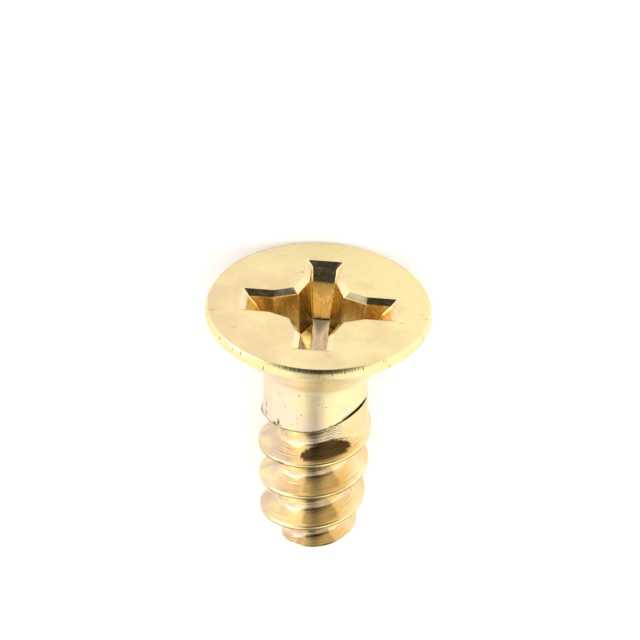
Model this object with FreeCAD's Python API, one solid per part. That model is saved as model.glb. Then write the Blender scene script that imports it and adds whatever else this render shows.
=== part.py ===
import FreeCAD
import Part
import math
import os

# Short countersunk wood screw with a cross recess and a coarse cut thread.
# It is drawn upright, head face at height 0 and tip below, then laid on its side as it comes to rest.
# The front of the drawing (the -Y side) is the side that faces up once the screw lies down.
# All sizes are in millimetres and degrees.

overall_length = 12.7

head_diameter = 9.8
head_land_height = 0.44         # straight rim between the face and the cone
head_edge_round = 0.12
head_cone_angle = 90.0
neck_round = 0.9                # where the cone meets the shank

shank_diameter = 4.6
shoulder_depth = 5.6            # where the rolled up thread starts to stand out from the shank
shoulder_height = 0.3

thread_diameter = 5.07          # over the crests, just below the shoulder
thread_taper_angle = 2.2        # half angle of the crests' taper towards the tip
thread_pitch = 1.8
crest_width = 0.22
core_diameter = 2.94
core_tip_diameter = 2.0
core_taper_length = 2.6         # last stretch, over which the core narrows to the tip
narrowest_floor = 0.08          # least width of the groove's floor
head_side_flank_angle = 20.0    # measured from square to the axis
tip_side_flank_angle = 36.0
thread_start_depth = 4.67       # depth of the first groove's upper edge where the groove begins
thread_start_bearing = 15.0     # seen from above, turned from +X towards +Y
run_out_turns = 0.22            # part of a turn over which the groove sinks to full depth
run_out_climb = 0.3             # how far the groove's upper edge climbs towards the head there
climb_full_turns = 0.14         # it stays up this long and is back on the helix at the second one
climb_end_turns = 0.34

tip_bulge_depth = 0.75          # from the tip's end up to the middle of its rounded shoulder
tip_bulge_diameter = 3.8
tip_round_height = 1.75         # from the tip's end up to the start of the rounding
tip_nose_diameter = 2.1
tip_nose_height = 0.27
tip_end_diameter = 1.4

recess_span = 6.26              # across two opposite wings, at the foot of the bevel
recess_wing_width = 1.14
recess_bevel_width = 0.27
recess_bevel_depth = 0.2
recess_wall_depth = 2.27
recess_floor_drop = 0.55        # the floor slopes down from the walls to the middle
recess_wing_end_angle = 30.0    # lean of the wings' ends from the axis
recess_wing_side_angle = 5.5
recess_corner_start = 2.05      # from the axis to where a wing's side turns into the corner's facet
recess_corner_start_low = 1.82
recess_corner_edge = 0.98       # the crease between two facets, measured along each wing
recess_corner_edge_low = 0.84
recess_floor_span = 1.0         # the lowest part of the floor
recess_floor_width = 0.72
recess_turn = -4.1              # turn of the cross about the axis

HALF_TURN = 180.0
points_per_turn = 24


def tan_deg(angle):
    return math.tan(math.radians(angle))


def smooth(value):
    t = min(max(value, 0.0), 1.0)
    return t * t * (3.0 - 2.0 * t)


def at(radius, depth):
    """A point of the turned profile."""
    return FreeCAD.Vector(radius, 0, -depth)


def crest_radius(depth):
    """Radius over the crests, on the taper of the thread."""
    below = depth - shoulder_depth - shoulder_height
    return thread_diameter / 2 - below * tan_deg(thread_taper_angle)


def blank_radius(depth):
    """Radius before the thread is cut: plain shank, shoulder, then the taper."""
    full = crest_radius(shoulder_depth + shoulder_height)
    step = (depth - shoulder_depth) / shoulder_height
    if step <= 0:
        return shank_diameter / 2
    return shank_diameter / 2 + step * (full - shank_diameter / 2) if step < 1 else crest_radius(depth)


def core_radius(depth):
    """Radius of the groove's floor."""
    share = smooth((depth - overall_length + core_taper_length) / core_taper_length)
    return (core_diameter + (core_tip_diameter - core_diameter) * share) / 2


def head_profile():
    """Face, rounded edge, straight rim, cone and the round at the neck."""
    rim, shank = head_diameter / 2, shank_diameter / 2
    lean = head_cone_angle / 2
    flat_end = rim - head_edge_round
    edge_middle = head_edge_round * (1 - math.sqrt(0.5))
    corner_depth = head_land_height + (rim - shank) / tan_deg(lean)
    reach = neck_round * tan_deg(lean / 2)
    slope = math.radians(lean)
    cone_end = at(shank + reach * math.sin(slope), corner_depth - reach * math.cos(slope))
    shank_start = at(shank, corner_depth + reach)
    centre = FreeCAD.Vector(shank + neck_round, 0, -corner_depth - reach)
    bisector = (cone_end + shank_start) * 0.5 - centre
    round_middle = centre + bisector.normalize() * neck_round
    return [
        Part.makeLine(at(0, 0), at(flat_end, 0)),
        Part.Arc(at(flat_end, 0), at(rim - edge_middle, edge_middle), at(rim, head_edge_round)).toShape(),
        Part.makeLine(at(rim, head_edge_round), at(rim, head_land_height)),
        Part.makeLine(at(rim, head_land_height), cone_end),
        Part.Arc(cone_end, round_middle, shank_start).toShape(),
    ], shank_start


def body_profile(start):
    """Shank, shoulder, tapered thread blank and the blunt rounded tip."""
    shoulder_end = shoulder_depth + shoulder_height
    round_start = overall_length - tip_round_height
    bulge = at(tip_bulge_diameter / 2, overall_length - tip_bulge_depth)
    nose = at(tip_nose_diameter / 2, overall_length - tip_nose_height)
    steps = [start, at(shank_diameter / 2, shoulder_depth), at(crest_radius(shoulder_end), shoulder_end),
             at(crest_radius(round_start), round_start)]
    lines = [Part.makeLine(a, b) for a, b in zip(steps, steps[1:])]
    end = at(tip_end_diameter / 2, overall_length)
    return lines + [
        Part.Arc(steps[-1], bulge, nose).toShape(),
        Part.makeLine(nose, end),
        Part.makeLine(end, at(0, overall_length)),
        Part.makeLine(at(0, overall_length), at(0, 0)),
    ]


def turned_blank():
    head, shank_start = head_profile()
    outline = Part.Wire(head + body_profile(shank_start))
    return Part.Face(outline).revolve(FreeCAD.Vector(0, 0, 0), FreeCAD.Vector(0, 0, 1), 360)


def groove_floor(edge_depth, foot_depth, upper, lower):
    """Radius of the floor: the core's, or further out where the two flanks come together first."""
    up_slope, down_slope = tan_deg(tip_side_flank_angle), tan_deg(head_side_flank_angle)
    spare = foot_depth - edge_depth - narrowest_floor
    meeting = (upper * up_slope + lower * down_slope - spare) / (up_slope + down_slope)
    return max(core_radius((edge_depth + foot_depth) / 2), meeting)


def groove_section(turns):
    """Four corners of the cutter's section (radius, depth) after so many turns from the start."""
    fading = (turns - climb_full_turns) / (climb_end_turns - climb_full_turns)
    climb = run_out_climb * (1 - smooth(fading))
    edge_depth = thread_start_depth + turns * thread_pitch - climb
    foot_depth = thread_start_depth + (turns + 1) * thread_pitch - crest_width
    overshoot = 0.4 * crest_width
    upper, lower = blank_radius(edge_depth), blank_radius(foot_depth)
    floor_full = groove_floor(edge_depth, foot_depth, upper, lower)
    sunk = smooth(turns / run_out_turns)
    floor = floor_full + (1 - sunk) * (max(upper, lower) + 0.3 * overshoot - floor_full)
    upper_corner = edge_depth + (upper - floor) * tan_deg(tip_side_flank_angle)
    lower_corner = foot_depth - (lower - floor) * tan_deg(head_side_flank_angle)
    rise = max(upper, lower) + overshoot - floor
    return [
        (floor + rise, upper_corner - rise * tan_deg(tip_side_flank_angle)),
        (floor, upper_corner),
        (floor, lower_corner),
        (floor + rise, lower_corner + rise * tan_deg(head_side_flank_angle)),
    ]


def helical_edges(row, steps, cuts):
    """One smooth curve through a row of points, cut into pieces of half a turn."""
    pieces = []
    for low, high in zip(cuts, cuts[1:]):
        curve = Part.BSplineCurve()
        curve.interpolate(Points=row, Parameters=steps)
        curve.segment(low, high)
        pieces.append(curve.toShape())
    return pieces


def thread_cutter():
    """Solid swept by the cutter's section along the right-handed helix, past the tip's end."""
    halves = int(math.ceil(2 * (overall_length + 0.1 - thread_start_depth) / thread_pitch))
    count = halves * points_per_turn // 2
    rows = [[] for _ in range(4)]
    for i in range(count + 1):
        turns = i / points_per_turn
        bearing = math.radians(thread_start_bearing - 360.0 * turns)
        for row, (radius, depth) in zip(rows, groove_section(turns)):
            row.append(FreeCAD.Vector(radius * math.cos(bearing), radius * math.sin(bearing), -depth))
    steps = [i / points_per_turn for i in range(count + 1)]
    cuts = [i / 2 for i in range(halves + 1)]
    lines = [helical_edges(row, steps, cuts) for row in rows]
    faces = []
    for i in range(4):
        for edge, neighbour in zip(lines[i], lines[(i + 1) % 4]):
            faces += Part.makeRuledSurface(edge, neighbour, 1).Faces
    for k in (0, -1):
        faces.append(Part.Face(Part.makePolygon([row[k] for row in rows] + [rows[0][k]])))
    shell = Part.makeShell(faces)
    shell.sewShape()
    solid = Part.Solid(shell)
    if solid.Volume < 0:
        solid.reverse()
    return solid


def cross_outline(half_span, half_width, corner_start, corner_edge, depth):
    """Closed outline of the four wings, with two facets that meet in a crease between neighbours."""
    points = []
    for quarter in range(4):
        angle = math.radians(90.0 * quarter + recess_turn)
        for x, y in ((half_span, -half_width), (half_span, half_width), (corner_start, half_width),
                     (corner_edge, corner_edge), (half_width, corner_start)):
            points.append(FreeCAD.Vector(x * math.cos(angle) - y * math.sin(angle),
                                         x * math.sin(angle) + y * math.cos(angle), -depth))
    return Part.makePolygon(points + points[:1])


def cross_recess():
    """Pocket for the driver: bevelled mouth, tapered wings and a floor that dips to the middle."""
    span, width = recess_span / 2, recess_wing_width / 2
    wall = recess_wall_depth - recess_bevel_depth
    low_span = span - wall * tan_deg(recess_wing_end_angle)
    low_width = width - wall * tan_deg(recess_wing_side_angle)
    above = 0.05
    grow = recess_bevel_width * (1 + above / recess_bevel_depth)
    facet = math.atan2(recess_corner_edge - width, recess_corner_start - recess_corner_edge)
    mouth_edge = recess_corner_edge + grow / (math.sin(facet) + math.cos(facet))
    middle_span, middle_width = recess_floor_span / 2, recess_floor_width / 2
    spare = middle_span - middle_width
    sections = [
        cross_outline(span + grow, width + grow, recess_corner_start, mouth_edge, -above),
        cross_outline(span, width, recess_corner_start, recess_corner_edge, recess_bevel_depth),
        cross_outline(low_span, low_width, recess_corner_start_low, recess_corner_edge_low, recess_wall_depth),
        cross_outline(middle_span, middle_width, middle_width + spare * 0.6, middle_width + spare * 0.3,
                      recess_wall_depth + recess_floor_drop),
    ]
    return Part.makeLoft(sections, True, True)


def upright_screw():
    return turned_blank().cut(cross_recess()).cut(thread_cutter())


def lying_angle(screw):
    """Dip of the axis when the rim and a crest of the thread both touch the floor."""
    rim = head_diameter / 2
    dips = []
    for point in screw.tessellate(0.01)[0]:
        below_rim = -point.z - head_land_height
        if below_rim > rim:
            dips.append(math.degrees(math.atan2(rim - point.y, below_rim)))
    return min(dips)


def laid_down(screw):
    """Turns the screw onto its side and centres it on the floor."""
    lying = screw.copy()
    lying.rotate(FreeCAD.Vector(0, 0, 0), FreeCAD.Vector(1, 0, 0), lying_angle(screw) - HALF_TURN / 2)
    points = lying.tessellate(0.01)[0]
    low, high = min(p.y for p in points), max(p.y for p in points)
    lying.translate(FreeCAD.Vector(0, -(low + high) / 2, -min(p.z for p in points)))
    return lying


def main():
    os.makedirs("parts", exist_ok=True)
    screw = laid_down(upright_screw())
    if len(screw.Solids) == 1:
        screw = screw.Solids[0]
    screw.exportStep("parts/screw.step")


main()
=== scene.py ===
"""Dresses the short brass countersunk wood screw and sets up its studio.

The screw is worked out upright in millimetres, head face at height 0 and tip below, and then laid
on its side on the floor, where its rim and one crest of its thread carry it.
"""

import logging
import math
from dataclasses import dataclass, field
from enum import Enum
from typing import Sequence

import bpy
import numpy as np
from mathutils import Matrix, Vector


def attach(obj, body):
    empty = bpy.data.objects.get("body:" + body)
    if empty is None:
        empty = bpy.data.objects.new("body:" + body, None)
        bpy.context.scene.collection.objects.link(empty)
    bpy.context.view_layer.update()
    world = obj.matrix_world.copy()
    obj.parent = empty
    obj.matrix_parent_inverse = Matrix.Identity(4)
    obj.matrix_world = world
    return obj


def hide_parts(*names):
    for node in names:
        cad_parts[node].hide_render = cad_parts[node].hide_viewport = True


logging.basicConfig(level=logging.INFO, format="%(message)s")
log = logging.getLogger("screw")

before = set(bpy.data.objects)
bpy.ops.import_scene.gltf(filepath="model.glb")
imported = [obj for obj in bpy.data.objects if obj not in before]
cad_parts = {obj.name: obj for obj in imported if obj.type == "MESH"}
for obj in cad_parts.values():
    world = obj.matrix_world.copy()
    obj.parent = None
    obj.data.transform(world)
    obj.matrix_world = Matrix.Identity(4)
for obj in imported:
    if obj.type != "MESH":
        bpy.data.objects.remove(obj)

Array = np.ndarray
Socket = bpy.types.NodeSocket
Pair = tuple[float, float]
Triple = tuple[float, float, float]

MM = 0.001
NODE = "screw"
BODY = "root"
PLACE = "upright_place"
# Point attribute with the painted shade and painted dark reflections of the recess and the thread.
PAINTED_SHADING = "painted_shade_and_reflection"


class Zone(Enum):
    """Areas of the screw that are finished alike. The value is the material's place on the mesh."""

    FACE = 0
    RECESS = 1
    RIM = 2
    SHANK = 3
    THREAD = 4
    BEVEL = 5
    CREST = 6


@dataclass(frozen=True)
class ScrewSizes:
    """Sizes of the screw, in millimetres and degrees."""

    length: float = 12.7
    head_diameter: float = 9.8
    land: float = 0.44
    edge_round: float = 0.12
    edge_height: float = 0.36
    cone_angle: float = 90.0
    neck_round: float = 0.9
    shank_diameter: float = 4.6
    shoulder_depth: float = 5.6
    shoulder_height: float = 0.3
    thread_diameter: float = 5.07
    thread_taper: float = 2.2
    pitch: float = 1.8
    crest_width: float = 0.16
    core_diameter: float = 2.94
    core_tip_diameter: float = 2.0
    core_taper_length: float = 2.6
    head_flank: float = 20.0
    tip_flank: float = 36.0
    groove_round: float = 0.15
    start_depth: float = 4.67
    start_bearing: float = 15.0
    plain_end: float = 4.22
    burr_height: float = 0.13
    run_out: float = 0.22
    run_out_climb: float = 0.3
    climb_full: float = 0.14
    climb_end: float = 0.34
    bulge_depth: float = 0.75
    bulge_diameter: float = 3.8
    round_height: float = 1.75
    nose_diameter: float = 2.1
    nose_height: float = 0.27
    end_diameter: float = 1.4
    span: float = 6.26
    wing: float = 1.14
    bevel_width: float = 0.27
    bevel_depth: float = 0.2
    wall_depth: float = 2.27
    floor_drop: float = 0.6
    trough: float = 0.05
    wing_end_knee: float = 0.65
    wing_end_lean: float = 40.0
    wing_end_lean_low: float = 20.0
    wing_side_lean: float = 5.5
    corner_start: float = 2.05
    corner_start_low: float = 1.82
    corner_edge: float = 0.98
    corner_edge_low: float = 0.84
    floor_span: float = 1.0
    floor_width: float = 0.72
    recess_turn: float = -4.1

    def crest_radius(self, depth: Array) -> Array:
        """Radius over the crests, on the thread's taper, at some depths below the head's face."""
        below = depth - self.shoulder_depth - self.shoulder_height
        return self.thread_diameter / 2 - below * tan_deg(self.thread_taper)

    def core_radius(self, depth: Array) -> Array:
        """Radius of the core, which is the groove's floor, at some depths."""
        share = ease((depth - self.length + self.core_taper_length) / self.core_taper_length)
        return (self.core_diameter + (self.core_tip_diameter - self.core_diameter) * share) / 2

    def stock_radius(self, depth: Array) -> Array:
        """Radius of the shank, the shoulder and the taper, without the rounding of the tip.

        Args:
            depth: depths below the head's face.

        Returns:
            The radii.
        """
        full = self.thread_diameter / 2
        step = (depth - self.shoulder_depth) / self.shoulder_height
        shoulder = self.shank_diameter / 2 + np.clip(step, 0, 1) * (full - self.shank_diameter / 2)
        return np.where(step < 1, shoulder, self.crest_radius(depth))

    def blank_radius(self, depth: Array) -> Array:
        """Radius of the turned blank below the neck, before the thread is cut.

        Args:
            depth: depths below the head's face.

        Returns:
            The radii, with the shoulder, the taper and the rounded tip.
        """
        round_start = self.length - self.round_height
        centre_r, centre_d, bend = circle_through(
            (float(self.crest_radius(np.array(round_start))), round_start),
            (self.bulge_diameter / 2, self.length - self.bulge_depth),
            (self.nose_diameter / 2, self.length - self.nose_height),
        )
        tip = centre_r + np.sqrt(np.maximum(bend**2 - (depth - centre_d) ** 2, 0.0))
        return np.where(depth < round_start, self.stock_radius(depth), tip)


@dataclass(frozen=True)
class BrassFinish:
    """How one area of the brass is finished.

    Attributes:
        name: name of the material.
        colour: base colour, linear.
        deep_colour: colour in the finish's darker clouds.
        roughness: lowest and highest roughness.
        grain: how many noise cells fit in a millimetre along X, Y and Z, or round, out and down.
        bump: height of the grain in millimetres.
        wrapped: True if the grain follows the thread round the axis.
        marks: how many noise cells of the dark marks fit in a millimetre, along the same directions.
        marked: noise value below which a mark shows, so 0 leaves the area without.
        blush: how strongly the pinkish clouds show; they grow to the left, which paints shade on the
            left side.
        lean: how much the deep colour grows for each millimetre along X, Y and Z, painting shade on one
            side.
        blush_colour: colour of the pinkish clouds.
        blush_start: value of their noise where they start.
    """

    name: str
    colour: Triple
    deep_colour: Triple
    roughness: Pair
    grain: Triple
    bump: float
    wrapped: bool = False
    marks: Triple = (1.0, 1.0, 1.0)
    marked: float = 0.0
    blush: float = 0.0
    lean: Triple = (0.0, 0.0, 0.0)
    blush_colour: Triple = (0.86, 0.67, 0.46)
    blush_start: float = 0.45


def show(name: str, data: bpy.types.ID) -> bpy.types.Object:
    """Adds an object to the scene.

    Args:
        name: its name.
        data: its mesh, light or camera.

    Returns:
        The object.
    """
    made = bpy.data.objects.new(name, data)
    bpy.context.scene.collection.objects.link(made)
    return made


def tan_deg(angle: float) -> float:
    """Tangent of an angle in degrees."""
    return math.tan(math.radians(angle))


def ease(value: Array) -> Array:
    """Smooth step from 0 to 1, level beyond both ends."""
    t = np.clip(value, 0.0, 1.0)
    return t * t * (3.0 - 2.0 * t)


def circle_through(*points: Pair) -> Triple:
    """Circle through three points.

    Args:
        points: three (radius, depth) points.

    Returns:
        The centre's radius and depth, and the circle's own radius.
    """
    p = np.array(points)
    x, y, rest = np.linalg.solve(np.column_stack([2 * p, np.ones(3)]), (p**2).sum(1))
    return x, y, math.sqrt(rest + x * x + y * y)


def spread(count: int) -> Array:
    """Shares from 0 up to, but without, 1, closer together at both ends."""
    return (1 - np.cos(np.linspace(0, math.pi, count + 1)[:-1])) / 2


def stretch(start: Sequence[float], end: Sequence[float], count: int) -> Array:
    """Rows from a start up to, but without, an end, closer together at both."""
    a, b = np.array(start), np.array(end)
    return a + (b - a) * spread(count)[:, None]


def circle(bearings: Array, radius: Array | float, depth: float) -> Array:
    """Level ring round the axis, with a point at each bearing in degrees and one radius or many."""
    a = np.radians(bearings)
    return np.column_stack([radius * np.cos(a), radius * np.sin(a), np.full(len(a), -depth)])


def relax(line: Array, times: int, keep: Array | None = None) -> Array:
    """Rounds a line's corners a little by drawing each point to its neighbours.

    Args:
        line: points or rows of numbers, along the first axis. Its two ends stay.
        times: how often.
        keep: mask of the points that stay too.

    Returns:
        The rounded line.
    """
    line = line.copy()
    for _ in range(times):
        moved = line[:-2] * 0.25 + line[1:-1] * 0.5 + line[2:] * 0.25
        line[1:-1] = moved if keep is None else np.where(keep[1:-1], line[1:-1], moved)
    return line


@dataclass
class Skin:
    """Collects rings of points and the faces between them.

    Attributes:
        points: blocks of points gathered so far.
        faces: faces as point numbers.
        zones: each face's zone.
        painted_darks: how dark each point's painted shade or painted reflection is.
    """

    points: list[Array] = field(default_factory=list)
    faces: list[tuple[int, ...]] = field(default_factory=list)
    zones: list[int] = field(default_factory=list)
    painted_darks: list[Array] = field(default_factory=list)

    def add(self, block: Array, painted_dark: Array | None = None) -> Array:
        """Adds points.

        Args:
            block: (n, 3) points in millimetres.
            painted_dark: how dark each point's painted shade or painted reflection is, from 0 to 1.

        Returns:
            Their numbers.
        """
        first = sum(map(len, self.points))
        self.points.append(block)
        self.painted_darks.append(np.zeros(len(block)) if painted_dark is None else painted_dark)
        return np.arange(first, first + len(block))

    def face(self, corners: Sequence[int], zone: Zone) -> None:
        """Adds one face, without corners that fall together.

        Args:
            corners: point numbers, in order.
            zone: the area that it belongs to.
        """
        kept = [int(c) for i, c in enumerate(corners) if c != corners[i - 1]]
        if len(kept) > 2 and len(set(kept)) == len(kept):
            self.faces.append(tuple(kept))
            self.zones.append(zone.value)

    def band(self, upper: Array, lower: Array, zone: Zone) -> None:
        """Joins two closed rings of as many points, the outer or lower one second."""
        for a, b, c, d in zip(upper, lower, np.roll(lower, -1), np.roll(upper, -1)):
            self.face((a, b, c, d), zone)

    def mesh(self, name: str, pose: Matrix) -> bpy.types.Mesh:
        """Makes the mesh, in metres. Each point keeps its upright place in millimetres for the grain.

        Args:
            name: its name.
            pose: what lays the upright points down.

        Returns:
            The mesh, shaded smooth, with each face in its zone's material.
        """
        made = bpy.data.meshes.new(name)
        upright = np.vstack(self.points)
        turn, shift = np.array(pose.to_3x3()), np.array(pose.translation)
        made.from_pydata((upright * MM @ turn.T + shift).tolist(), [], self.faces)
        painted_darks = np.concatenate(self.painted_darks)
        made.attributes.new(PLACE, "FLOAT_VECTOR", "POINT").data.foreach_set("vector", upright.ravel())
        # Painted shade and painted reflections, one value for each point.
        made.attributes.new(PAINTED_SHADING, "FLOAT", "POINT").data.foreach_set("value", painted_darks)
        made.polygons.foreach_set("material_index", self.zones)
        made.polygons.foreach_set("use_smooth", [True] * len(self.zones))
        made.update()
        return made


@dataclass
class CrossRecess:
    """The driver's pocket: bevelled mouth, four tapered wings and a floor that dips to the middle.

    Attributes:
        sizes: the screw's sizes.
        tip_steps: points along each wing's end.
        side_steps: points along each wing's side.
        sweep_steps: points along each swept corner.
        level_steps: rings on the bevel, the upper wall, the lower wall and the floor.
        softening: how often a ring is drawn to its neighbours, to take off the sharpest corners.
        floor_corner: how far the floor's facets and creases start out from its narrow width.
        hollow_full: share of the floor's drop at which it is fully hollow.
        middle_shares: sizes of the rings on the floor's middle, as shares of the last level.
        middle_dip: how far the floor's middle lies below the last level.
        painted_shade: painted shade on the floor and in the corner where the walls meet it.
        painted_shade_reach: how far below the walls the floor's is full, and how far the corner's
            reaches.
    """

    sizes: ScrewSizes
    tip_steps: int = 12
    side_steps: int = 16
    sweep_steps: int = 36
    level_steps: tuple[int, int, int, int] = (8, 8, 18, 12)
    softening: int = 7
    floor_corner: Pair = (0.6, 0.3)
    hollow_full: float = 0.4
    middle_shares: tuple[float, ...] = (0.75, 0.5, 0.25)
    middle_dip: float = 0.04
    # Painted shade at the pocket's bottom: a darker floor and a darker corner where the walls meet it.
    painted_shade: Pair = (0.3, 0.55)
    painted_shade_reach: Pair = (0.2, 0.13)

    @property
    def columns(self) -> int:
        """Points round each ring."""
        return 4 * (self.tip_steps + 2 * self.side_steps + self.sweep_steps)

    def outline(self, half_span: float, half_width: float, start: float, edge: float,
                depth: float) -> Array:
        """One level outline of the pocket.

        Args:
            half_span: from the axis to a wing's end.
            half_width: half of a wing's width.
            start: from the axis to where a wing's side turns into the corner's facet.
            edge: the crease between two facets, measured along each wing.
            depth: depth below the head's face.

        Returns:
            (columns, 3) points, seen from above against the clock.
        """
        half = self.sweep_steps // 2
        corners = [(half_span, -half_width, self.tip_steps), (half_span, half_width, self.side_steps),
                   (start, half_width, half), (edge, edge, half), (half_width, start, self.side_steps)]
        ends = [corner[:2] for corner in corners[1:]] + [(half_width, half_span)]
        x, y = np.vstack([stretch(a[:2], b, a[2]) for a, b in zip(corners, ends)]).T
        quarters = np.radians(90 * np.arange(4) + self.sizes.recess_turn)[:, None]
        cos, sin = np.cos(quarters), np.sin(quarters)
        flat = np.stack([x * cos - y * sin, x * sin + y * cos], 2).reshape(-1, 2)
        for _ in range(self.softening):
            flat = flat * 0.5 + (np.roll(flat, 1, 0) + np.roll(flat, -1, 0)) * 0.25
        return np.column_stack([flat, np.full(len(flat), -depth)])

    def bearings(self) -> Array:
        """Directions of the rings outside the pocket, one for each of its columns, in degrees."""
        step = 360 / self.columns
        return self.sizes.recess_turn + (np.arange(self.columns) - self.tip_steps / 2) * step

    def levels(self) -> Array:
        """Half span, half width, facet start, crease and depth of each level, from the mouth down."""
        s = self.sizes
        wall, knee = s.wall_depth - s.bevel_depth, s.wing_end_knee - s.bevel_depth
        knee_span = s.span / 2 - knee * tan_deg(s.wing_end_lean)
        low_span = knee_span - (wall - knee) * tan_deg(s.wing_end_lean_low)
        low_width = s.wing / 2 - wall * tan_deg(s.wing_side_lean)
        facet = math.atan2(s.corner_edge - s.wing / 2, s.corner_start - s.corner_edge)
        mouth_edge = s.corner_edge + s.bevel_width / (math.sin(facet) + math.cos(facet))
        middle, spare = s.floor_width / 2, (s.floor_span - s.floor_width) / 2
        facet_out, crease_out = self.floor_corner
        sides = np.array([[s.wing / 2, s.corner_start, s.corner_edge],
                          [low_width, s.corner_start_low, s.corner_edge_low]])
        knee_sides = sides[0] + (sides[1] - sides[0]) * knee / wall
        keys = np.array([
            [s.span / 2 + s.bevel_width, s.wing / 2 + s.bevel_width, s.corner_start, mouth_edge, 0.0],
            [s.span / 2, s.wing / 2, s.corner_start, s.corner_edge, s.bevel_depth],
            [knee_span, *knee_sides, s.wing_end_knee],
            [low_span, low_width, s.corner_start_low, s.corner_edge_low, s.wall_depth],
            [s.floor_span / 2, middle, middle + spare * facet_out, middle + spare * crease_out,
             s.wall_depth + s.floor_drop],
        ])
        rows = [stretch(a, b, count) for a, b, count in zip(keys, keys[1:], self.level_steps)]
        return relax(np.vstack(rows + [keys[-1:]]), 3)

    def trough(self, depth: float) -> Array:
        """How far the floor of each wing hangs below its sides.

        Args:
            depth: depth of the level.

        Returns:
            (columns, 3) drops, upwards positive.
        """
        s = self.sizes
        across = np.full(self.columns // 4, 1.0)
        across[:self.tip_steps + 1] = 2 * spread(self.tip_steps + 1) - 1
        share = float(ease(np.array((depth - s.wall_depth) / (self.hollow_full * s.floor_drop))))
        drop = np.tile(s.trough * share * (1 - across**2), 4)
        return np.column_stack([np.zeros((self.columns, 2)), drop])

    def painted_shade_at(self, depth: float) -> Array:
        """Painted shade on the floor, thickest in the corner where the walls meet it.

        Args:
            depth: depth of the level.

        Returns:
            How dark each column is.
        """
        below = depth - self.sizes.wall_depth
        (on_floor, in_corner), (full, reach) = self.painted_shade, self.painted_shade_reach
        floor = on_floor * float(ease(np.array(below / full)))
        return np.full(self.columns, floor + in_corner * math.exp(-(below / reach) ** 2))

    def build(self, skin: Skin) -> Array:
        """Adds the pocket.

        Args:
            skin: what it is added to.

        Returns:
            Numbers of the mouth's points.
        """
        levels = self.levels()
        rings = [skin.add(self.outline(*level) - self.trough(level[4]), self.painted_shade_at(level[4]))
                 for level in levels]
        for outer, inner, depth in zip(rings, rings[1:], levels[1:, 4]):
            wall = self.sizes.bevel_depth < depth <= self.sizes.wall_depth
            skin.band(inner, outer, Zone.RECESS if wall else Zone.BEVEL)
        last = np.vstack(skin.points)[rings[-1]]
        middle = last.mean(0)
        previous = rings[-1]
        for share in self.middle_shares:
            drop = np.array([0, 0, self.middle_dip * (1 - share**2)])
            ring = skin.add(middle + (last - middle) * share - drop, self.painted_shade_at(levels[-1, 4]))
            skin.band(ring, previous, Zone.BEVEL)
            previous = ring
        centre = skin.add(np.array([middle - [0, 0, self.middle_dip]]))
        skin.band(np.repeat(centre, len(previous)), previous, Zone.BEVEL)
        return rings[0]


@dataclass
class Head:
    """Face, rounded edge, rim, cone and neck, all round the axis.

    Attributes:
        sizes: the screw's sizes.
        bearings: direction of each column, in degrees.
        face_shares: where the face's rings lie, from the recess's mouth to the edge.
        crown: how quickly the rim's crown levels off.
    """

    sizes: ScrewSizes
    bearings: Array
    face_shares: tuple[float, ...] = (0.03, 0.12, 0.3, 0.5, 0.7, 0.88, 0.97)
    crown: float = 2.4

    def profile(self) -> tuple[Array, list[Zone]]:
        """Radius and depth from the face's edge down to where the thread's rows start.

        Returns:
            The points, and for each the zone of the band below it.
        """
        s = self.sizes
        rim, shank, lean = s.head_diameter / 2, s.shank_diameter / 2, math.radians(s.cone_angle / 2)
        corner = s.land + (rim - shank) / math.tan(lean)
        reach = s.neck_round * math.tan(lean / 2)
        share = np.linspace(0, 1, 15)[:-1]
        crown = [rim - s.edge_round * (1 - share) ** self.crown, s.edge_height * share]
        cone_end = (shank + reach * math.sin(lean), corner - reach * math.cos(lean))
        bend = np.linspace(lean, 0, 11)[:-1]
        neck = [shank + s.neck_round * (1 - np.cos(bend)), corner + reach - s.neck_round * np.sin(bend)]
        legs = [
            (np.column_stack(crown), Zone.RIM),
            (stretch((rim, s.edge_height), (rim, s.land), 5), Zone.RIM),
            (stretch((rim, s.land), cone_end, 16), Zone.SHANK),
            (np.column_stack(neck), Zone.SHANK),
            (stretch((shank, corner + reach), (shank, s.plain_end), 6), Zone.SHANK),
        ]
        points = np.vstack([leg for leg, _ in legs] + [[[shank, s.plain_end]]])
        return relax(points, 1), [zone for leg, zone in legs for _ in leg]

    def build(self, skin: Skin, mouth: Array) -> Array:
        """Adds the head and the plain shank.

        Args:
            skin: what they are added to.
            mouth: numbers of the pocket's mouth, where the face starts.

        Returns:
            Numbers of the shank's last ring.
        """
        inner = np.vstack(skin.points)[mouth]
        outer = circle(self.bearings, self.sizes.head_diameter / 2 - self.sizes.edge_round, 0.0)
        points, zones = self.profile()
        rings = [inner + (outer - inner) * share for share in self.face_shares]
        rings += [circle(self.bearings, *point) for point in points]
        last = mouth
        for block, zone in zip(rings, [Zone.FACE] * (len(self.face_shares) + 1) + zones):
            ring = skin.add(block)
            skin.band(last, ring, zone)
            last = ring
        return last


@dataclass(frozen=True)
class Burr:
    """A small burr at the start of the thread.

    Attributes:
        bearing: where it is round the axis, in degrees.
        depth: depth of its middle below the head's face, in millimetres.
        half_length: how far it reaches round the shank to each side, in millimetres.
        half_height: how far it reaches up and down.
        share: its height as a share of the full height, below 0 for a dent.
    """

    bearing: float
    depth: float
    half_length: float
    half_height: float
    share: float


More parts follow.
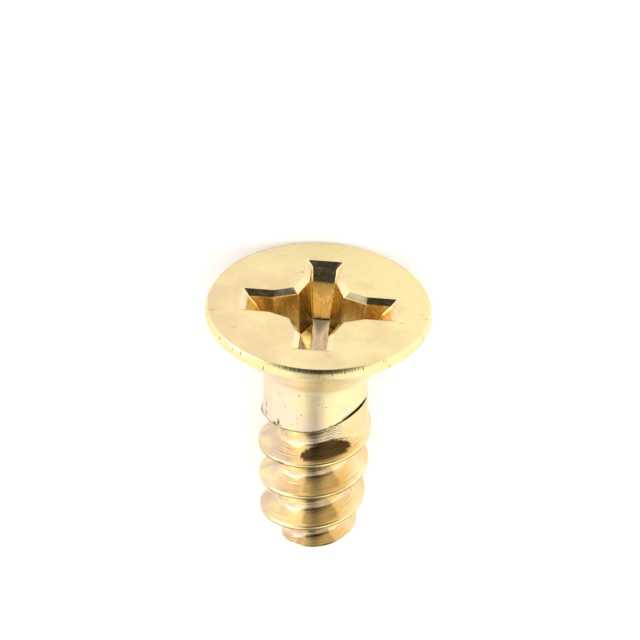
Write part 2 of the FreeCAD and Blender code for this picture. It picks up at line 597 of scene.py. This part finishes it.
@dataclass(frozen=True)
class PaintedReflection:
    """Painted dark reflection on the flank of one turn, with painted shade in the groove's corner.

    Attributes:
        turn: which turn of the groove.
        middle: bearing of its middle, in degrees.
        half_length: how far it reaches to each side, in degrees.
        strength: how dark it is, from 0 to 1.
        squareness: power of its outline, higher for squarer ends.
        corner: how dark the painted shade line in the groove's corner is, 0 for none.
        height: height of its middle as a share of the flank's, and its reach up and down.
        lean: how much it sinks towards one end, alike.
        roundness: power of its outline's width, higher for thinner ends.
        sharpness: how sharp its edges are.
        reach: how far below the groove's corner it can reach, in millimetres.
        line: height and half width of the line in the corner, as shares of the flank's height.
    """

    turn: int
    middle: float
    half_length: float
    strength: float
    squareness: int
    corner: float
    height: float = 0.46
    lean: float = 0.04
    roundness: float = 0.6
    sharpness: float = 4.0
    reach: float = 0.6
    line: Pair = (0.1, 0.05)


@dataclass(frozen=True)
class BurrShadow:
    """A painted shadow beside the burrs.

    Attributes:
        bearing: where it is round the axis, in degrees.
        depth: its depth below the head's face, in millimetres.
        radius: its radius.
        strength: how dark it is, from 0 to 1.
        reach: where it has faded away, in radii.
    """

    bearing: float
    depth: float
    radius: float
    strength: float
    reach: float = 1.6


BURRS = (
    Burr(-146.0, 5.22, 0.16, 0.05, 1.0),
    Burr(-137.0, 5.33, 0.10, 0.05, -0.7),
    Burr(-131.0, 5.28, 0.09, 0.05, 1.0),
    Burr(-124.0, 5.42, 0.14, 0.06, 0.8),
    Burr(-150.0, 4.88, 0.05, 0.05, 0.7),
    Burr(-172.0, 5.78, 0.42, 0.13, 2.2),
)
# Painted dark reflections on the flanks of the first turns, with painted shade lines in their grooves'
# corners.
PAINTED_REFLECTIONS = (
    PaintedReflection(0, -73.0, 34.0, 1.0, 3, 0.0),
    PaintedReflection(1, -78.0, 27.0, 0.42, 4, 0.6),
    PaintedReflection(2, -78.0, 27.0, 0.48, 4, 0.6),
    PaintedReflection(3, -76.0, 27.0, 0.35, 4, 0.6),
)
# Painted shadows beside the burrs.
BURR_SHADOWS = (
    BurrShadow(-158.0, 5.30, 0.09, 0.8),
    BurrShadow(-140.0, 5.36, 0.08, 0.85),
    BurrShadow(-133.0, 5.16, 0.09, 1.0),
    BurrShadow(-158.0, 4.82, 0.08, 0.8),
)


@dataclass
class ThreadedBody:
    """The cut thread with its run-out, and the blunt tip.

    Rows of points follow the thread's edges, so every edge stays crisp.

    Attributes:
        sizes: the screw's sizes.
        bearings: direction of each column, in degrees.
        steps: rows on the upper flank, the floor, the lower flank and the crest.
        turns: how many turns the thread can reach down, with room to spare.
        clearance: how far the groove's floor first clears the shank, as a share of the crest's width.
        cut_depth: depth from which a point counts as cut, in millimetres.
        nose_shares: where the nose's rings lie, from the rounded tip to the flat end.
        end_shares: sizes of the flat end's rings.
        edge_shade: the painted shade line at each crest's lower edge: its lowest and highest point,
            measured upwards from the edge, and how dark it is.
    """

    sizes: ScrewSizes
    bearings: Array
    steps: tuple[int, int, int, int] = (10, 8, 9, 6)
    turns: int = 7
    clearance: float = 0.12
    cut_depth: float = 0.02
    nose_shares: tuple[float, ...] = (0.15, 0.4, 0.65, 0.85, 0.95, 1.0)
    end_shares: tuple[float, ...] = (0.94, 0.75, 0.4)
    edge_shade: Triple = (-0.018, 0.06, 0.75)

    def section(self, turns: Array) -> tuple[Array, Array, Array]:
        """The groove's section after some turns from its start.

        Args:
            turns: how many turns.

        Returns:
            The floor's radius, and the depths of its upper and lower corner.
        """
        s = self.sizes
        fading = (turns - s.climb_full) / (s.climb_end - s.climb_full)
        edge = s.start_depth + turns * s.pitch - s.run_out_climb * (1 - ease(fading))
        foot = s.start_depth + (turns + 1) * s.pitch - s.crest_width
        upper, lower = s.stock_radius(edge), s.stock_radius(foot)
        full = s.core_radius((edge + foot) / 2)
        clear = np.maximum(upper, lower) + self.clearance * s.crest_width
        floor = full + (1 - ease(turns / s.run_out)) * (clear - full)
        corner_up = edge + (upper - floor) * tan_deg(s.tip_flank)
        corner_down = foot - (lower - floor) * tan_deg(s.head_flank)
        return floor, corner_up, corner_down

    def surface(self, depth: Array) -> Array:
        """Radius of the cut blank.

        Args:
            depth: depths, with one column for each bearing.

        Returns:
            The radii.
        """
        s = self.sizes
        radius = s.blank_radius(depth)
        base = (s.start_bearing - self.bearings) / 360
        for turn in range(-1, self.turns):
            floor, up, down = self.section(base + turn)
            upper, lower = (up - depth) / tan_deg(s.tip_flank), (depth - down) / tan_deg(s.head_flank)
            climb = np.maximum(upper, lower)
            radius = np.minimum(radius, floor + (climb + np.sqrt(climb**2 + s.groove_round**2)) / 2)
        return radius

    def painted_dark(self, radius: Array, depth: Array) -> Array:
        """How dark the painted shade and painted reflections make the points, on the flanks, under the
        crests and beside the burrs.

        Args:
            radius: radii, with one column for each bearing.
            depth: depths, alike.

        Returns:
            How dark each point is, from 0 to 1.
        """
        layers = [self.flank_reflection(radius, depth, reflection) for reflection in PAINTED_REFLECTIONS]
        # Painted shade lines under the crests' lower edges.
        layers += [self.crest_shade(depth, turn) for turn in range(self.turns - 1)]
        layers += [self.burr_shadow(depth, burr_shadow) for burr_shadow in BURR_SHADOWS]
        return np.maximum.reduce(layers)

    def flank_reflection(self, radius: Array, depth: Array, reflection: PaintedReflection) -> Array:
        """Painted dark reflection on one turn's flank and painted shade in the groove's corner.

        Args:
            radius: radii, with one column for each bearing.
            depth: depths, alike.
            reflection: where it is and how dark.

        Returns:
            How dark it makes each point.
        """
        s = self.sizes
        aside = self.aside(reflection.middle)
        along = aside / reflection.half_length
        floor, up, down = self.section((s.start_bearing - reflection.middle - aside) / 360 + reflection.turn)
        height = (radius - floor) / (s.blank_radius(down) - floor + 1e-6)
        leaf = np.clip(1 - np.abs(along) ** reflection.squareness, 0, 1) ** reflection.roundness
        away = height - reflection.height + reflection.lean * along
        inside = 1 - np.abs(away) / (reflection.height * leaf + 1e-6)
        ends = 1 - np.abs(along)
        body = reflection.strength * ease(inside * reflection.sharpness)
        if reflection.corner:
            line_height, line_width = reflection.line
            line = reflection.corner * ease(2 - np.abs(height - line_height) / line_width)
            line *= ease(ends * reflection.sharpness)
            body = np.maximum(body * ease(ends * reflection.squareness), line)
        flank = (depth > (up + down) / 2) & (depth < down + reflection.reach) & (ends > 0)
        return np.where(flank, body, 0.0)

    def crest_shade(self, depth: Array, turn: int) -> Array:
        """How dark the painted shade line at one crest's lower edge makes each point."""
        above = self.edges((self.sizes.start_bearing - self.bearings % 360) / 360 + turn)[0] - depth
        low, high, dark = self.edge_shade
        return np.where((above > low) & (above < high), dark, 0.0)

    def burr_shadow(self, depth: Array, burr_shadow: BurrShadow) -> Array:
        """How dark one painted shadow beside the burrs makes each point."""
        away = np.hypot(self.along(burr_shadow.bearing), depth - burr_shadow.depth) / burr_shadow.radius
        return burr_shadow.strength * ease(burr_shadow.reach - away)

    def aside(self, bearing: float) -> Array:
        """How far each column lies from a bearing, in degrees between -180 and 180."""
        return (self.bearings - bearing + 180) % 360 - 180

    def along(self, bearing: float) -> Array:
        """How far each column lies from a bearing, in millimetres round the shank."""
        return np.radians(self.aside(bearing)) * self.sizes.shank_diameter / 2

    def burr(self, depth: Array, burr: Burr) -> Array:
        """How far one burr stands proud at each point."""
        away = (self.along(burr.bearing) / burr.half_length, (depth - burr.depth) / burr.half_height)
        return burr.share * self.sizes.burr_height * np.exp(-away[0] ** 2 - away[1] ** 2)

    def edges(self, turns: Array) -> list[Array]:
        """Depths of the groove's four edges.

        Args:
            turns: how many turns from its start.

        Returns:
            Upper edge, upper corner, lower corner and lower edge.
        """
        s = self.sizes
        floor, up, down = self.section(turns)
        high, low = up.copy(), down.copy()
        for _ in range(6):
            high = up - np.maximum(s.blank_radius(high) - floor, 0) * tan_deg(s.tip_flank)
            low = down + np.maximum(s.blank_radius(low) - floor, 0) * tan_deg(s.head_flank)
        return [high, up, down, low]

    def rows(self, top: float, bottom: float) -> tuple[Array, Array]:
        """Depth and radius of every row in every column.

        Args:
            top: depth of the ring above.
            bottom: depth of the ring below.

        Returns:
            The two grids.
        """
        base = (self.sizes.start_bearing - self.bearings) / 360
        lines = []
        for turn in range(-2, self.turns):
            marks = self.edges(base + turn) + [self.edges(base + turn + 1)[0]]
            lines += [stretch(a, b, count) for a, b, count in zip(marks, marks[1:], self.steps)]
        depth = np.clip(np.vstack(lines), top, bottom)
        radius = self.surface(depth) + sum(self.burr(depth, burr) for burr in BURRS)
        fixed = (depth <= top) | (depth >= bottom)
        rounded = relax(np.stack([depth, radius], 2), 2, np.repeat(fixed[:, :, None], 2, 2))
        return rounded[:, :, 0], rounded[:, :, 1]

    def build(self, skin: Skin, shank: Array) -> None:
        """Adds the thread and the tip.

        Args:
            skin: what they are added to.
            shank: numbers of the ring above.
        """
        s = self.sizes
        top, bottom = s.plain_end, s.length - s.nose_height
        depth, radius = self.rows(top, bottom)
        a = np.radians(self.bearings)
        end = self.surface(np.full((1, len(a)), bottom))[0]
        ring = skin.add(circle(self.bearings, end, bottom))
        numbers = np.where(depth <= top, shank[None, :], ring[None, :])
        inside = (depth > top) & (depth < bottom)
        spots = np.stack([radius * np.cos(a), radius * np.sin(a), -depth], 2)[inside]
        numbers[inside] = skin.add(spots, self.painted_dark(radius, depth)[inside])
        lap = sum(self.steps)
        wrapped = np.concatenate([np.full(lap, shank[0]), numbers[:-lap, 0]])
        grid = np.column_stack([numbers, wrapped])
        deep = s.blank_radius(depth) - radius > self.cut_depth
        for row in range(len(grid) - 1):
            crest = row % lap >= lap - self.steps[-1]
            for col in range(len(a)):
                corners = (*grid[row:row + 2, col], *grid[row:row + 2, col + 1][::-1])
                cut = deep[row, col] or depth[row, col] > s.shoulder_depth
                zone = (Zone.CREST if crest and row > lap else Zone.THREAD) if cut else Zone.SHANK
                skin.face(corners, zone)
        self.close(skin, ring, end)

    def close(self, skin: Skin, ring: Array, end: Array) -> None:
        """Adds the nose and the flat end.

        Args:
            skin: what they are added to.
            ring: numbers of the last ring of the rounded tip.
            end: its radii.
        """
        s = self.sizes
        flat = s.end_diameter / 2
        nose = [(end + (flat - end) * t, s.length - s.nose_height * (1 - t)) for t in self.nose_shares]
        for radius, depth in nose + [(flat * t, s.length) for t in self.end_shares]:
            below = skin.add(circle(self.bearings, radius, depth))
            skin.band(ring, below, Zone.THREAD)
            ring = below
        centre = skin.add(np.array([[0.0, 0.0, -s.length]]))
        skin.band(ring, np.repeat(centre, len(ring)), Zone.THREAD)


@dataclass
class Nodes:
    """A node tree with short ways to add to it.

    Attributes:
        tree: the tree.
    """

    tree: bpy.types.NodeTree

    def add(self, kind: str) -> bpy.types.Node:
        """Adds a node of a kind."""
        return self.tree.nodes.new(kind)

    def link(self, source: Socket, target: Socket) -> None:
        """Joins two sockets."""
        self.tree.links.new(source, target)

    def math(self, kind: str, first: Socket | float, second: Socket | float) -> Socket:
        """One sum between sockets or numbers.

        Args:
            kind: the sum.
            first: socket or number.
            second: socket or number.

        Returns:
            The result's socket.
        """
        node = self.add("ShaderNodeMath")
        node.operation = kind
        for slot, value in enumerate((first, second)):
            if isinstance(value, float):
                node.inputs[slot].default_value = value
            else:
                self.link(value, node.inputs[slot])
        return node.outputs["Value"]

    def vector(self, kind: str, socket: Socket, numbers: Triple) -> bpy.types.NodeOutputs:
        """A sum between a vector's socket and three numbers.

        Args:
            kind: the sum.
            socket: the vector.
            numbers: the other side.

        Returns:
            The sum, as Vector or Value.
        """
        node = self.add("ShaderNodeVectorMath")
        node.operation = kind
        node.inputs[1].default_value = numbers
        self.link(socket, node.inputs[0])
        return node.outputs

    def slope(self, socket: Socket, lean: Triple) -> Socket:
        """Value that grows steadily, by some lean along X, Y and Z."""
        return self.vector("DOT_PRODUCT", socket, lean)["Value"]

    def parts(self, socket: Socket) -> bpy.types.NodeOutputs:
        """Splits a vector into X, Y and Z."""
        node = self.add("ShaderNodeSeparateXYZ")
        self.link(socket, node.inputs[0])
        return node.outputs

    def attribute(self, name: str) -> bpy.types.NodeOutputs:
        """Reads one of the mesh's own attributes."""
        node = self.add("ShaderNodeAttribute")
        node.attribute_name = name
        return node.outputs

    def span(self, socket: Socket, source: Pair, result: Pair, smooth: bool = False) -> Socket:
        """Maps one range onto another one.

        Args:
            socket: what is mapped.
            source: where the change starts and ends.
            result: values before and after it.
            smooth: True to ease in and out.

        Returns:
            The result's socket.
        """
        node = self.add("ShaderNodeMapRange")
        node.interpolation_type = "SMOOTHSTEP" if smooth else "LINEAR"
        for name, number in zip(("From Min", "From Max", "To Min", "To Max"), (*source, *result)):
            node.inputs[name].default_value = number
        self.link(socket, node.inputs["Value"])
        return node.outputs["Result"]

    def noise(self, where: Socket, cells: Triple, detail: float) -> Socket:
        """Noise stretched along the grain.

        Args:
            where: the place.
            cells: cells per unit along each direction.
            detail: finer layers.

        Returns:
            The noise's socket.
        """
        node = self.add("ShaderNodeTexNoise")
        node.inputs["Scale"].default_value = 1.0
        node.inputs["Detail"].default_value = detail
        self.link(self.vector("MULTIPLY", where, cells)["Vector"], node.inputs["Vector"])
        return node.outputs["Fac"]

    def blend(self, colour: Socket | Triple, other: Triple, share: Socket) -> Socket:
        """Mixes a plain colour into another one.

        Args:
            colour: the first colour, as a socket or three numbers.
            other: what is mixed in.
            share: how much of it.

        Returns:
            The result's socket.
        """
        node = self.add("ShaderNodeMix")
        node.data_type = "RGBA"
        if isinstance(colour, tuple):
            node.inputs["A"].default_value = (*colour, 1)
        else:
            self.link(colour, node.inputs["A"])
        node.inputs["B"].default_value = (*other, 1)
        self.link(share, node.inputs["Factor"])
        return node.outputs["Result"]


@dataclass
class BrassMaterial:
    """Node material for one finish of the brass.

    Attributes:
        finish: how the area is finished.
        pitch: the thread's pitch, which a wrapped grain follows.
    """

    finish: BrassFinish
    pitch: float

    def build(self) -> bpy.types.Material:
        """Makes the material.

        Returns:
            The material.
        """
        f = self.finish
        made = bpy.data.materials.new(f.name)
        made.use_nodes = True
        nodes = Nodes(made.node_tree)
        nodes.tree.nodes.clear()
        out = nodes.add("ShaderNodeOutputMaterial")
        brass = nodes.add("ShaderNodeBsdfPrincipled")
        brass.inputs["Metallic"].default_value = 1.0
        nodes.link(brass.outputs["BSDF"], out.inputs["Surface"])
        plain = nodes.attribute(PLACE)["Vector"]
        where = self.wound(nodes, plain) if f.wrapped else plain
        fine = nodes.noise(where, f.grain, 2.0)
        nodes.link(nodes.span(fine, NOISE, f.roughness), brass.inputs["Roughness"])
        nodes.link(self.colour(nodes, plain, where, fine), brass.inputs["Base Color"])
        bump = nodes.add("ShaderNodeBump")
        bump.inputs["Distance"].default_value = f.bump * MM
        bump.inputs["Strength"].default_value = 1.0
        nodes.link(fine, bump.inputs["Height"])
        nodes.link(bump.outputs["Normal"], brass.inputs["Normal"])
        return made

    def colour(self, nodes: Nodes, plain: Socket, where: Socket, fine: Socket) -> Socket:
        """The brass's colour, with clouds, pinkish clouds, marks, and the painted shade and painted
        reflections.

        Args:
            nodes: the material's nodes.
            plain: place on the upright screw.
            where: place along the grain.
            fine: the grain's noise.

        Returns:
            The colour's socket.
        """
        f = self.finish
        # Random clouds of the deep colour, with the lean painting shade on one side.
        cloud = nodes.math("ADD", nodes.noise(plain, CLOUD, 3.0), nodes.slope(plain, f.lean))
        shown = nodes.blend(f.colour, f.deep_colour, nodes.span(cloud, (0.4, 0.7), (0.0, 1.0)))
        # Pinkish clouds: a random tint, growing to the left as painted shade on the left side.
        shade = nodes.math("ADD", nodes.noise(plain, BLUSH, 1.0), nodes.slope(plain, BLUSH_LEAN))
        pink = nodes.span(shade, (f.blush_start, f.blush_start + BLUSH_EDGE), (0.0, f.blush))
        shown = nodes.blend(shown, f.blush_colour, pink)
        mark = nodes.noise(where, f.marks, 0.0)
        shown = nodes.blend(shown, MARK, nodes.span(mark, (f.marked, f.marked + MARK_EDGE), (1.0, 0.0)))
        # Painted shade and painted dark reflections, streaked by the grain.
        painted_dark = nodes.math("MULTIPLY", nodes.attribute(PAINTED_SHADING)["Fac"], nodes.span(fine, NOISE, STREAKS))
        return nodes.blend(shown, PAINTED_SHADE_COLOUR, painted_dark)

    def wound(self, nodes: Nodes, plain: Socket) -> Socket:
        """Place round the axis, out from it and down along the thread.

        Args:
            nodes: the material's nodes.
            plain: place on the upright screw.

        Returns:
            The socket with the place.
        """
        parts = nodes.parts(plain)
        angle = nodes.math("ARCTAN2", parts["Y"], parts["X"])
        squares = [nodes.math("MULTIPLY", parts[name], parts[name]) for name in "XY"]
        radius = nodes.math("POWER", nodes.math("ADD", *squares), 0.5)
        rise = nodes.math("MULTIPLY", angle, -self.pitch / (2 * math.pi))
        down = nodes.math("ADD", parts["Z"], rise)
        joined = nodes.add("ShaderNodeCombineXYZ")
        for socket, name in ((angle, "X"), (radius, "Y"), (down, "Z")):
            nodes.link(socket, joined.inputs[name])
        return joined.outputs["Vector"]


# Cells in a millimetre of the clouds and the pinkish clouds, and how the latter grow across the screw:
# to the left, painting shade on the screw's left side.
CLOUD = (0.5, 0.5, 0.5)
BLUSH = (0.9, 0.9, 0.7)
BLUSH_LEAN = (-0.06, 0.0, 0.0)
# Colours of the marks and of the painted shade and painted reflections.
MARK = (0.20, 0.14, 0.07)
PAINTED_SHADE_COLOUR = (0.046, 0.028, 0.015)
# Usual range of a noise, how wide the edges are in it, and the painted shade's strength in it.
NOISE = (0.3, 0.7)
BLUSH_EDGE = 0.17
MARK_EDGE = 0.04
STREAKS = (0.88, 1.0)

FINISHES = {
    Zone.FACE: BrassFinish(
        "brass_face", (0.80, 0.67, 0.345), (0.67, 0.52, 0.275), roughness=(0.24, 0.36),
        grain=(1.2, 18.0, 3.0), bump=0.006, marks=(1.0, 8.0, 1.0), marked=0.16,
        blush=0.15, lean=(-0.025, -0.025, 0.0)),
    Zone.RECESS: BrassFinish(
        "brass_recess", (0.91, 0.72, 0.37), (0.87, 0.66, 0.31), roughness=(0.18, 0.32),
        grain=(6.0, 6.0, 1.5), bump=0.004),
    Zone.RIM: BrassFinish(
        "brass_rim", (0.86, 0.73, 0.38), (0.80, 0.66, 0.32), roughness=(0.18, 0.3),
        grain=(90.0, 1.0, 0.5), bump=0.008, wrapped=True, marks=(60.0, 1.0, 2.5), marked=0.21),
    Zone.SHANK: BrassFinish(
        "brass_shank", (0.88, 0.75, 0.40), (0.84, 0.68, 0.42), roughness=(0.28, 0.42),
        grain=(16.0, 1.0, 0.7), bump=0.005, wrapped=True, marks=(16.0, 5.0, 10.0), marked=0.13,
        blush=0.9, lean=(-0.06, 0.0, 0.0), blush_colour=(0.80, 0.65, 0.48)),
    # On the thread the darker pinkish clouds are painted shade on the left of each turn.
    Zone.THREAD: BrassFinish(
        "brass_thread", (0.90, 0.745, 0.46), (0.79, 0.60, 0.30), roughness=(0.16, 0.29),
        grain=(0.8, 15.0, 20.0), bump=0.018, wrapped=True,
        blush=1.0, lean=(0.05, 0.0, 0.0), blush_colour=(0.70, 0.54, 0.40), blush_start=0.54),
    Zone.BEVEL: BrassFinish(
        "brass_bevel", (0.90, 0.73, 0.43), (0.86, 0.66, 0.39), roughness=(0.12, 0.24),
        grain=(4.0, 4.0, 4.0), bump=0.003, blush=0.5),
    Zone.CREST: BrassFinish(
        "brass_crest", (0.90, 0.78, 0.36), (0.66, 0.52, 0.20), roughness=(0.14, 0.26),
        grain=(3.0, 8.0, 8.0), bump=0.006, wrapped=True, marks=(2.5, 1.0, 9.0), marked=0.17),
}


@dataclass
class Screw:
    """The whole screw, as one skin.

    Attributes:
        sizes: its sizes.
        pose: what lays it down, known once it is built.
    """

    sizes: ScrewSizes = field(default_factory=ScrewSizes)
    pose: Matrix = field(default_factory=Matrix)

    def build(self) -> bpy.types.Object:
        """Makes the screw and lays it on the floor.

        Returns:
            The screw, in the place of the solid it stands for.
        """
        skin = Skin()
        recess = CrossRecess(self.sizes)
        mouth = recess.build(skin)
        shank = Head(self.sizes, recess.bearings()).build(skin, mouth)
        ThreadedBody(self.sizes, recess.bearings()).build(skin, shank)
        self.pose = self.lying(np.vstack(skin.points))
        mesh = skin.mesh("screw_skin", self.pose)
        for zone in Zone:
            mesh.materials.append(BrassMaterial(FINISHES[zone], self.sizes.pitch).build())
        return show("screw_brass", mesh)

    def lying(self, points: Array) -> Matrix:
        """How the screw lies: rim and one crest on the floor, centred along its length.

        Args:
            points: its points, upright, in millimetres.

        Returns:
            The matrix that lays it down, in metres.
        """
        s = self.sizes
        rim = s.head_diameter / 2
        below = -points[:, 2] - s.land
        low = below > rim
        dip = np.arctan2(rim - points[low, 1], below[low]).min()
        turn = Matrix.Rotation(dip - math.pi / 2, 4, "X")
        laid = points @ np.array(turn.to_3x3()).T
        middle = (laid[:, 1].min() + laid[:, 1].max()) / 2
        return Matrix.Translation((0, -middle * MM, -laid[:, 2].min() * MM)) @ turn


@dataclass(frozen=True)
class Lamp:
    """One soft lamp.

    Attributes:
        name: its name.
        place: where it is, in metres.
        size: its width.
        power: its strength in watts.
        mirrored: False if it only lights the floor and doesn't show in the metal.
    """

    name: str
    place: Triple
    size: float
    power: float
    mirrored: bool = True


@dataclass(frozen=True)
class View:
    """Where the camera looks from.

    Attributes:
        rise: angle of view above the head's face, in degrees.
        roll: turn of the picture, in degrees.
        distance: from the middle of the head's face, in millimetres.
        width: how much the picture takes in at that distance, in millimetres.
        aside: how far the picture's middle lies to the right of the middle of the face.
        below: how far it lies below it.
    """

    rise: float = 34.7
    roll: float = 2.1
    distance: float = 120.0
    width: float = 27.53
    aside: float = 0.05
    below: float = 0.67


@dataclass
class Studio:
    """Floor, light and camera.

    Attributes:
        pose: matrix of the lying screw.
        view: where the camera looks from.
        lamps: the lamps.
        half_floor: half of the floor's width, in metres.
        sensor: width of the camera's sensor, in millimetres.
        gap: direction in which the sky has its dark gap.
    """

    pose: Matrix
    view: View = View()
    lamps: tuple[Lamp, ...] = (
        Lamp("key", (-0.30, 0.17, 0.08), 0.24, 0.45),
        Lamp("fill", (0.32, -0.04, 0.14), 0.30, 0.42, mirrored=False),
        Lamp("roof", (0.0, 0.05, 0.5), 0.5, 1.5, mirrored=False),
    )
    half_floor: float = 0.6
    sensor: float = 36.0
    gap: Triple = (0.0, 0.48, 0.83)

    def build(self) -> None:
        """Sets everything up."""
        self.floor()
        self.sky()
        for lamp in self.lamps:
            self.light(lamp)
        self.camera()
        bpy.context.scene.view_settings.view_transform = "Standard"

    def floor(self) -> None:
        """Makes the pale floor."""
        half = self.half_floor
        mesh = bpy.data.meshes.new("floor")
        corners = [(-half, -half, 0), (half, -half, 0), (half, half, 0), (-half, half, 0)]
        mesh.from_pydata(corners, [], [(0, 1, 2, 3)])
        paper = bpy.data.materials.new("floor_paper")
        paper.use_nodes = True
        shader = paper.node_tree.nodes["Principled BSDF"]
        shader.inputs["Base Color"].default_value = (0.93, 0.93, 0.93, 1)
        shader.inputs["Roughness"].default_value = 0.9
        mesh.materials.append(paper)
        show("floor", mesh)

    def sky(self) -> None:
        """Soft light from all round, with the dark gap that a studio has between its lights."""
        world = bpy.data.worlds.new("studio")
        world.use_nodes = True
        nodes = Nodes(world.node_tree)
        back = nodes.tree.nodes["Background"]
        around = nodes.add("ShaderNodeTexCoord").outputs["Generated"]
        side = nodes.math("ABSOLUTE", nodes.parts(around)["X"], 0.0)
        gap = nodes.span(nodes.slope(around, self.gap), (0.57, 0.81), (0.0, 0.75), smooth=True)
        across = nodes.math("SUBTRACT", side, gap)
        dim = nodes.span(across, (-0.5, 0.0), (0.04, 0.45), smooth=True)
        glow = nodes.span(across, (0.0, 0.42), (0.0, 0.95), smooth=True)
        nodes.link(nodes.math("ADD", dim, glow), back.inputs["Strength"])
        back.inputs["Color"].default_value = (1.0, 0.99, 0.97, 1)
        bpy.context.scene.world = world

    @staticmethod
    def light(lamp: Lamp) -> None:
        """Adds one soft lamp, aimed at the screw.

        Args:
            lamp: where it is and how strong.
        """
        data = bpy.data.lights.new(lamp.name, "AREA")
        data.shape = "DISK"
        data.size = lamp.size
        data.energy = lamp.power
        made = show(lamp.name, data)
        made.location = lamp.place
        made.visible_glossy = lamp.mirrored
        made.rotation_mode = "QUATERNION"
        made.rotation_quaternion = (Vector((0, 0, 0.004)) - Vector(lamp.place)).to_track_quat("-Z", "Y")

    def camera(self) -> None:
        """Sets the camera above the head's side, with the head at the top of the picture."""
        v = self.view
        rise = math.radians(v.rise)
        turn = self.pose.to_3x3()
        back = turn @ Vector((0, -math.cos(rise), math.sin(rise)))
        tilt = Matrix.Rotation(math.radians(v.roll), 3, back)
        up = tilt @ turn @ Vector((0, math.sin(rise), math.cos(rise)))
        right = up.cross(back)
        face = self.pose.translation
        place = face + back * v.distance * MM
        axis = (place - (face + (right * v.aside - up * v.below) * MM)).normalized()
        side = up.cross(axis).normalized()
        data = bpy.data.cameras.new("camera")
        data.sensor_width = self.sensor
        data.lens = data.sensor_width * v.distance / v.width
        data.clip_start, data.clip_end = 0.005, 5.0
        made = show("camera", data)
        axes = Matrix((side, axis.cross(side), axis)).transposed()
        made.matrix_world = Matrix.Translation(place) @ axes.to_4x4()
        bpy.context.scene.camera = made


def main() -> None:
    """Builds the screw, hides the CAD part that it stands for, then builds the studio."""
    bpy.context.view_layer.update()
    screw = Screw()
    skin = screw.build()
    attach(skin, BODY)
    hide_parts(NODE)
    log.info("screw: %d faces", len(skin.data.polygons))
    studio = Studio(screw.pose)
    studio.build()
    log.info("studio: floor, %d lamps and camera", len(studio.lamps))


if __name__ == "__main__":
    main()
